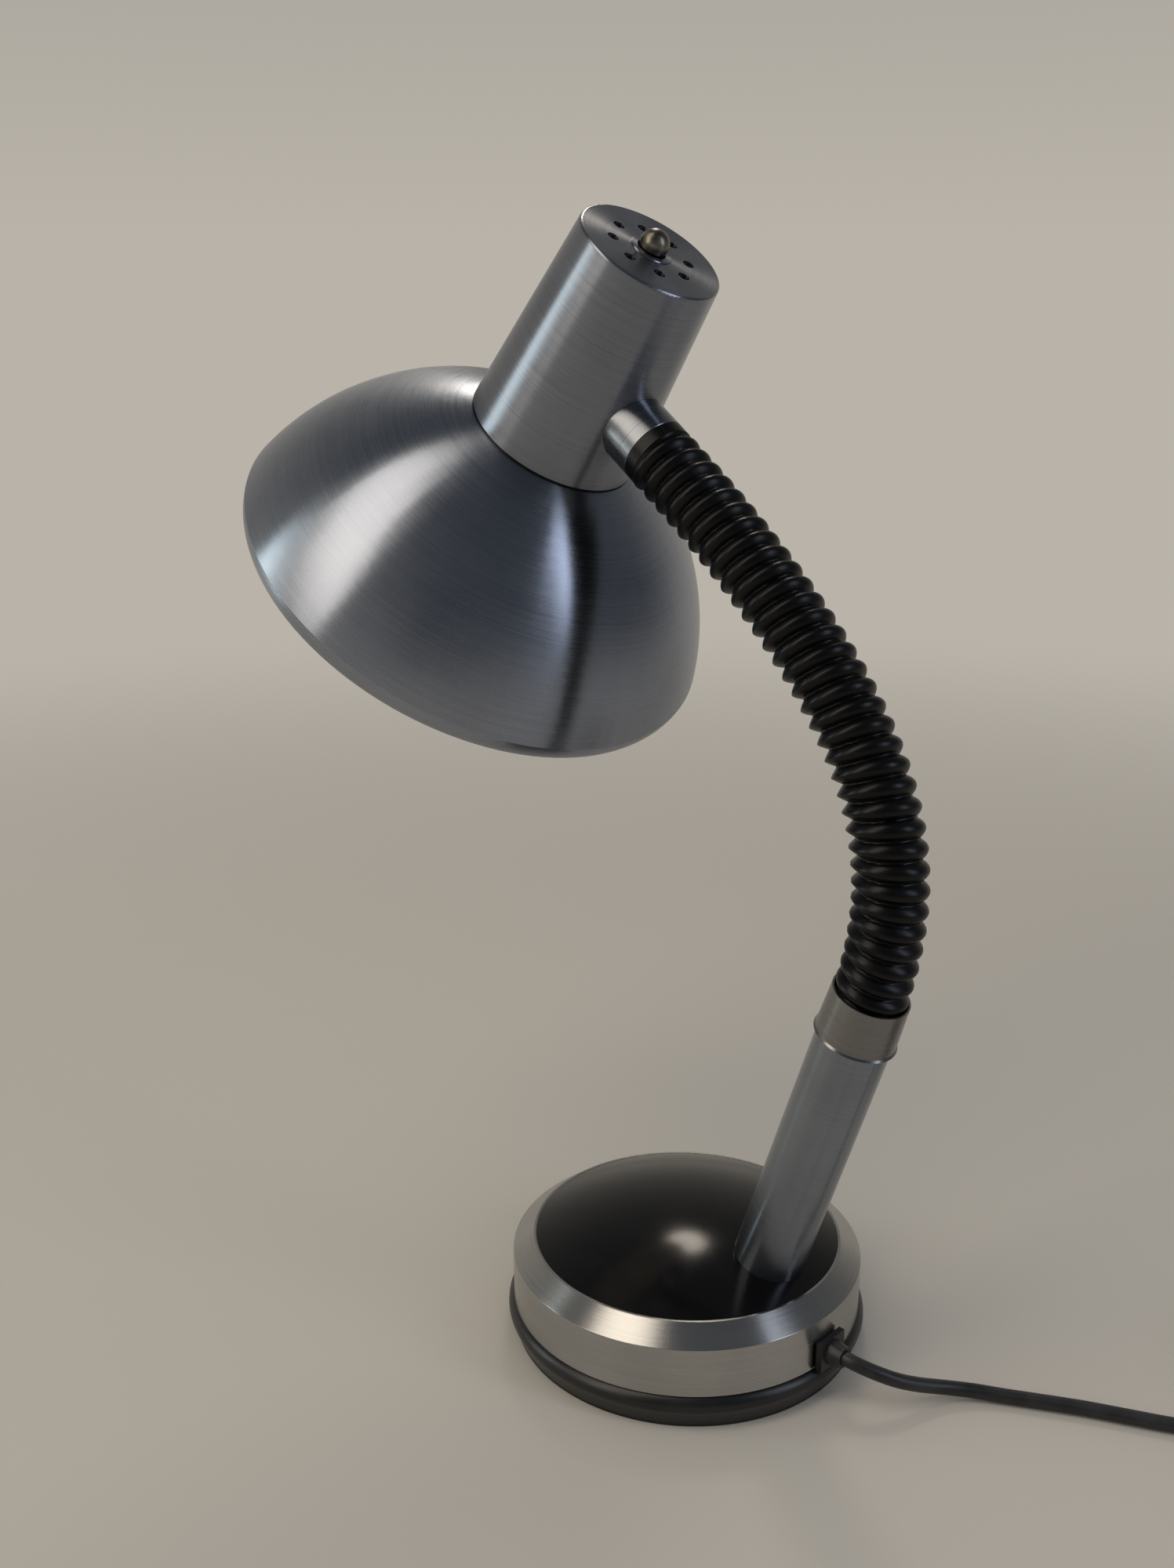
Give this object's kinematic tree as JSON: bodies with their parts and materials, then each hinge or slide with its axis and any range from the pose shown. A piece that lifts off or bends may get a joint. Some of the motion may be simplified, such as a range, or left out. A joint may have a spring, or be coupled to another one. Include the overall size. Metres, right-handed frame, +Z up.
{
  "type": "articulated desk lamp",
  "caption": "Articulated desk lamp: weighted round base, leaning stem, ribbed flexible neck, vented housing with a ball push switch, spun dome shade, cord and plug.",
  "frame": {"origin": "middle of the base on the table plane", "axes": "+Z up; +X from the base's middle towards the stem; the neck bends over in the XZ plane and the shade hangs at -X"},
  "size_m": [0.4803, 0.3582, 0.4479],
  "materials": {
    "brushed_aluminium": "brushed",
    "spun_aluminium": "satin spun",
    "black_enamel": "gloss",
    "black_rubber": "satin",
    "sleeve_pvc": "semi-gloss",
    "cast_iron": "as cast, painted",
    "conduit_steel": "galvanised",
    "zinc_steel": "zinc plated",
    "plain_brass": "turned",
    "pale_brass": "polished",
    "black_phenolic": "moulded",
    "white_plastic": "moulded",
    "plated_cap": "rolled",
    "opal_glass": "opal",
    "cord_pvc": "satin",
    "tie_nylon": "moulded",
    "nickel_plate": "plated"
  },
  "bodies": {
    "base": {"foot_ring": "black_rubber", "base_ring": "brushed_aluminium", "base_plate": "black_enamel", "ballast": "cast_iron", "bottom_cover": "black_enamel", "cover_screws": "zinc_steel", "stem": "brushed_aluminium", "stem_nipple": "plain_brass", "stem_nut": "plain_brass", "cord_gland": "cord_pvc", "cord_clamp": "white_plastic", "terminal_block": "white_plastic", "ferrule": "brushed_aluminium", "core_1": "conduit_steel", "sleeve_1": "sleeve_pvc", "cord": "cord_pvc", "cord_coil": "cord_pvc", "coil_tie": "tie_nylon", "plug_body": "cord_pvc", "plug_pins": "nickel_plate"},
    "link_2": {"core_2": "conduit_steel", "sleeve_2": "sleeve_pvc"},
    "link_3": {"core_3": "conduit_steel", "sleeve_3": "sleeve_pvc"},
    "link_4": {"core_4": "conduit_steel", "sleeve_4": "sleeve_pvc"},
    "link_5": {"core_5": "conduit_steel", "sleeve_5": "sleeve_pvc"},
    "link_6": {"core_6": "conduit_steel", "sleeve_6": "sleeve_pvc"},
    "link_7": {"core_7": "conduit_steel", "sleeve_7": "sleeve_pvc"},
    "link_8": {"core_8": "conduit_steel", "sleeve_8": "sleeve_pvc"},
    "link_9": {"core_9": "conduit_steel", "sleeve_9": "sleeve_pvc"},
    "link_10": {"core_10": "conduit_steel", "sleeve_10": "sleeve_pvc"},
    "head": {"core_11": "conduit_steel", "sleeve_11": "sleeve_pvc", "collar": "brushed_aluminium", "collar_nut": "plain_brass", "housing": "brushed_aluminium", "switch_bush": "pale_brass", "switch_body": "black_phenolic", "holder_body": "black_phenolic", "holder_shell": "plain_brass", "holder_contact": "plain_brass", "seam_gasket": "black_rubber", "shade": "spun_aluminium", "shade_ring": "black_phenolic", "bulb_cap": "plated_cap", "bulb_body": "white_plastic", "bulb_globe": "opal_glass"},
    "button": {"switch_button": "pale_brass"}
  },
  "joints": [
    {"name": "neck_bend", "type": "hinge", "parent": "base", "child": "link_2", "pos_m": [0.08689, 0, 0.1854], "axis": [0, -1, 0], "range_deg": [-12, 9], "deforming": ["sleeve_1", "sleeve_2"]},
    {"name": "neck_sway", "type": "hinge", "parent": "link_2", "child": "link_3", "pos_m": [0.09002, 0, 0.20769], "axis": [-0.9986, 0, 0.0523], "range_deg": [-9, 9], "deforming": ["sleeve_3"]},
    {"name": "neck_bend_2", "type": "hinge", "parent": "link_3", "child": "link_4", "pos_m": [0.08845, 0, 0.23012], "axis": [0, -1, 0], "range_deg": [-12, 9], "deforming": ["sleeve_4"]},
    {"name": "neck_sway_2", "type": "hinge", "parent": "link_4", "child": "link_5", "pos_m": [0.08169, 0, 0.25157], "axis": [-0.9135, 0, -0.4067], "range_deg": [-9, 9], "deforming": ["sleeve_5"]},
    {"name": "neck_bend_3", "type": "hinge", "parent": "link_5", "child": "link_6", "pos_m": [0.07077, 0, 0.27126], "axis": [0, -1, 0], "range_deg": [-12, 9], "deforming": ["sleeve_6"]},
    {"name": "neck_sway_3", "type": "hinge", "parent": "link_6", "child": "link_7", "pos_m": [0.05714, 0, 0.28919], "axis": [-0.7604, 0, -0.6494], "range_deg": [-9, 9], "deforming": ["sleeve_7"]},
    {"name": "neck_bend_4", "type": "hinge", "parent": "link_7", "child": "link_8", "pos_m": [0.04184, 0, 0.30574], "axis": [0, -1, 0], "range_deg": [-12, 9], "deforming": ["sleeve_8"]},
    {"name": "neck_sway_4", "type": "hinge", "parent": "link_8", "child": "link_9", "pos_m": [0.02549, 0, 0.32125], "axis": [-0.6691, 0, -0.7431], "range_deg": [-9, 9], "deforming": ["sleeve_9"]},
    {"name": "neck_bend_5", "type": "hinge", "parent": "link_9", "child": "link_10", "pos_m": [0.00842, 0, 0.33597], "axis": [0, -1, 0], "range_deg": [-12, 9], "deforming": ["sleeve_10"]},
    {"name": "neck_sway_5", "type": "hinge", "parent": "link_10", "child": "head", "pos_m": [-0.00928, 0, 0.34992], "axis": [-0.6018, 0, -0.7986], "range_deg": [-9, 9], "deforming": ["sleeve_11"]},
    {"name": "switch_press", "type": "slide", "parent": "head", "child": "button", "axis": [-0.6018, 0, -0.7986], "range_m": [0, 0.0025], "stiffness_N_per_m": 400}
  ]
}
